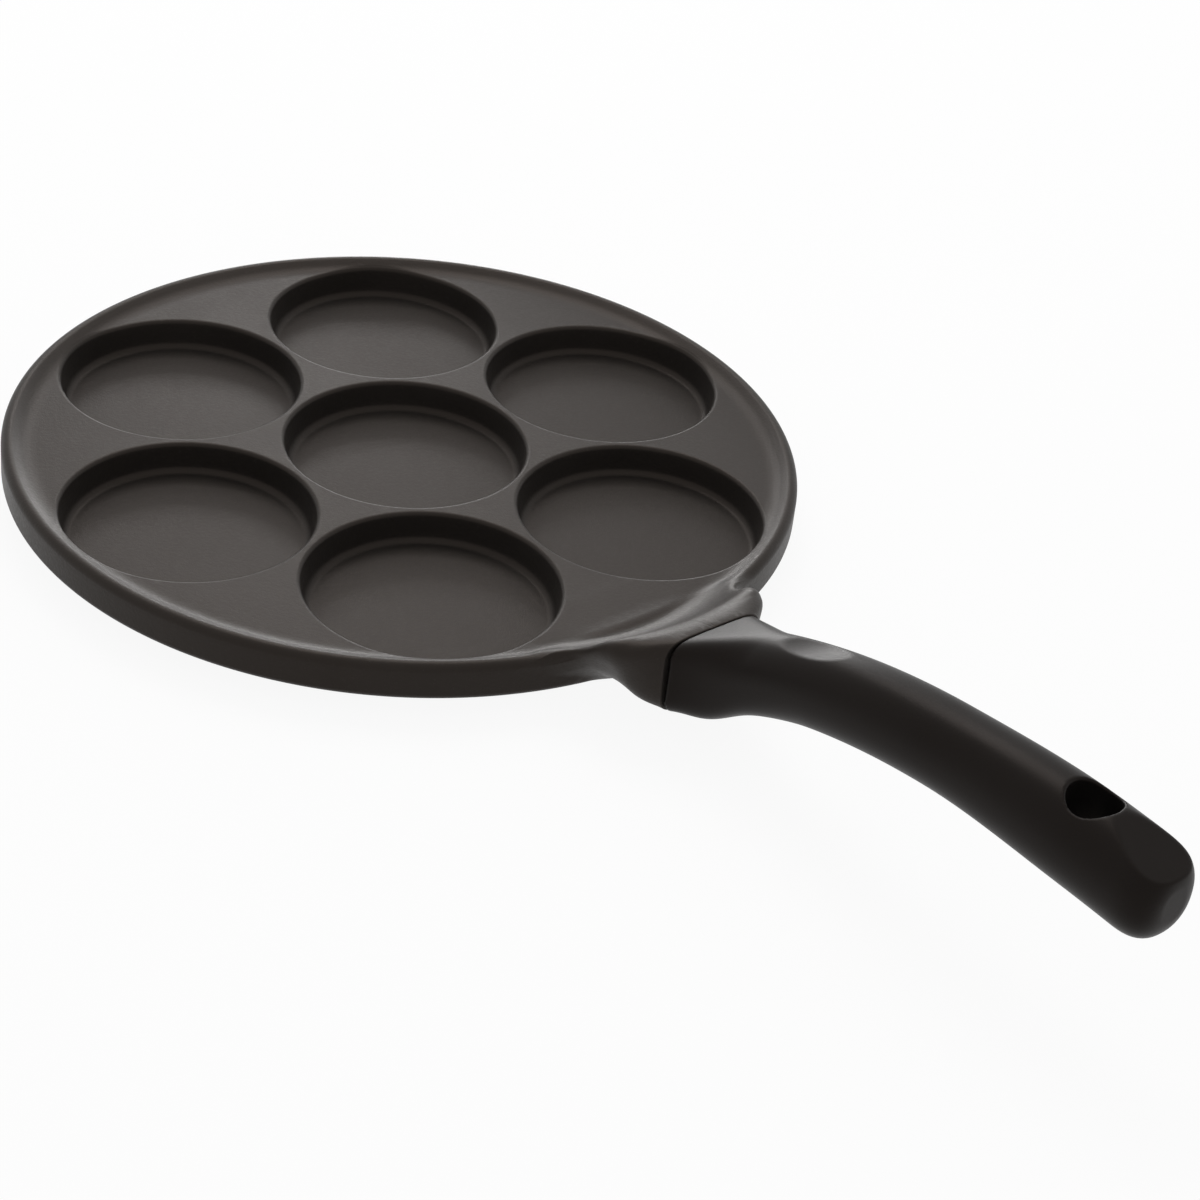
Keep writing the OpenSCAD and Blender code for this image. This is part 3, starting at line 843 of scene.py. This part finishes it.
pan.data.materials.append(dark_coating())
grip_obj.data.materials.append(phenolic())
steel = zinc_steel()
for name in ("handle_screw", "spring_washer", "flat_washer"):
    for obj in bpy.data.objects:
        if obj.type == "MESH" and obj.name.startswith(name):
            obj.data.materials.clear()
            obj.data.materials.append(steel)

# ---------------------------------------------------------------- camera, floor, light
AMBIENT = 0.6
TURN = math.radians(46.4)
spin = Matrix.Rotation(TURN, 3, "Z")
fwd = spin @ Vector((0, 0.8497, -0.5272))
right = spin @ Vector((1, 0, 0))
upv = spin @ Vector((0, 0.5272, 0.8497))
roll = math.radians(7.33)
cam_x = right * math.cos(roll) + upv * math.sin(roll)
cam_y = -right * math.sin(roll) + upv * math.cos(roll)
cam_data = bpy.data.cameras.new("camera")
cam = bpy.data.objects.new("camera", cam_data)
bpy.context.scene.collection.objects.link(cam)
m = Matrix.Identity(4)
for i in range(3):
    m[i][0], m[i][1], m[i][2] = cam_x[i], cam_y[i], -fwd[i]
place = spin @ Vector((0.08075, -0.76177, 0.45742)) + Vector((0, 0, 0.015))
m.translation = place
cam.matrix_world = m
cam_data.sensor_width = 36
# The photo's focal length and middle, in its own pixels
PHOTO, FOCAL, MIDDLE_X, MIDDLE_Y = 1200, 2689, 643.4, 512.1
cam_data.lens = cam_data.sensor_width * FOCAL / PHOTO
cam_data.shift_x = (PHOTO / 2 - MIDDLE_X) / PHOTO
cam_data.shift_y = (MIDDLE_Y - PHOTO / 2) / PHOTO
cam_data.clip_start, cam_data.clip_end = 0.01, 50
bpy.context.scene.camera = cam

FLOOR = 4000
corners = [(-FLOOR, -FLOOR, 0), (FLOOR, -FLOOR, 0), (FLOOR, FLOOR, 0), (-FLOOR, FLOOR, 0)]
floor = make("floor", corners, [(0, 1, 2, 3)])
floor.location.z = -0.0002
fmat = bpy.data.materials.new("floor")
fmat.use_nodes = True
nt = fmat.node_tree
nt.nodes.clear()


def direct_view(nt, camera, glossy):
    """The share of plain white background: camera for the camera's rays, glossy for those off or through the object."""
    path = node(nt, "ShaderNodeLightPath").outputs
    either_ray = calc(nt, path["Is Glossy Ray"], path["Is Transmission Ray"], "MAXIMUM")
    seen = calc(nt, either_ray, glossy, "MULTIPLY")
    return calc(nt, calc(nt, path["Is Camera Ray"], camera, "MULTIPLY"), seen, "MAXIMUM")


out = node(nt, "ShaderNodeOutputMaterial")
mix = node(nt, "ShaderNodeMixShader")
diff = node(nt, "ShaderNodeBsdfDiffuse", Color=(0.9, 0.9, 0.9, 1))
emit = node(nt, "ShaderNodeEmission", Color=(1, 1, 1, 1))
nt.links.new(direct_view(nt, 0.92, 0.92), mix.inputs["Fac"])
nt.links.new(diff.outputs[0], mix.inputs[1])
nt.links.new(emit.outputs[0], mix.inputs[2])
nt.links.new(mix.outputs[0], out.inputs["Surface"])
floor.data.materials.append(fmat)

# The world lights from all round, more from behind the pan; seen directly or in a gloss it is white
world = bpy.data.worlds.new("world")
bpy.context.scene.world = world
world.use_nodes = True
wt = world.node_tree
wt.nodes.clear()
wout = node(wt, "ShaderNodeOutputWorld")
wmix = node(wt, "ShaderNodeMixShader")
wlight = node(wt, "ShaderNodeBackground", Color=(1, 1, 1, 1))
wseen = node(wt, "ShaderNodeBackground", Color=(1, 1, 1, 1), Strength=1.0)
split = node(wt, "ShaderNodeSeparateXYZ")
wt.links.new(node(wt, "ShaderNodeTexCoord").outputs["Generated"], split.inputs[0])
# How far a direction points away from the camera, which looks along -0.72, 0.69 in plan
away_x, away_y = calc(wt, split.outputs["X"], -0.72, "MULTIPLY"), calc(wt, split.outputs["Y"], 0.69, "MULTIPLY")
behind = calc(wt, away_y, away_x)
wt.links.new(remap(wt, behind, -0.8, 0.6, AMBIENT * 0.55, AMBIENT * 1.3), wlight.inputs["Strength"])
wt.links.new(direct_view(wt, 1.0, 1.0), wmix.inputs["Fac"])
wt.links.new(wlight.outputs[0], wmix.inputs[1])
wt.links.new(wseen.outputs[0], wmix.inputs[2])
wt.links.new(wmix.outputs[0], wout.inputs["Surface"])


def lamp(name, at, aim, size_x, size_y, radiance):
    data = bpy.data.lights.new(name, "AREA")
    data.shape = "RECTANGLE"
    data.size, data.size_y = size_x, size_y
    data.energy = math.pi * size_x * size_y * radiance
    obj = bpy.data.objects.new(name, data)
    bpy.context.scene.collection.objects.link(obj)
    obj.location = at
    obj.rotation_euler = (Vector(aim) - Vector(at)).to_track_quat("-Z", "Y").to_euler()


def toward(az, el, dist):
    """A place seen from the pan's centre at azimuth az from +X towards +Y and elevation el, in degrees."""
    a, e = math.radians(az), math.radians(el)
    return (math.cos(a) * math.cos(e) * dist, math.sin(a) * math.cos(e) * dist, math.sin(e) * dist)


lamp("high_panel", toward(148, 57, 1.6), (0, 0, 0.01), 0.9, 0.8, 4.0)
lamp("low_panel", toward(149, 21, 1.2), (0, 0, 0.01), 0.30, 0.20, 6.0)
lamp("strip", toward(140, 3, 1.5), (0.1, 0, 0.03), 0.4, 0.1, 20.0)

bpy.context.scene.view_settings.view_transform = "Standard"
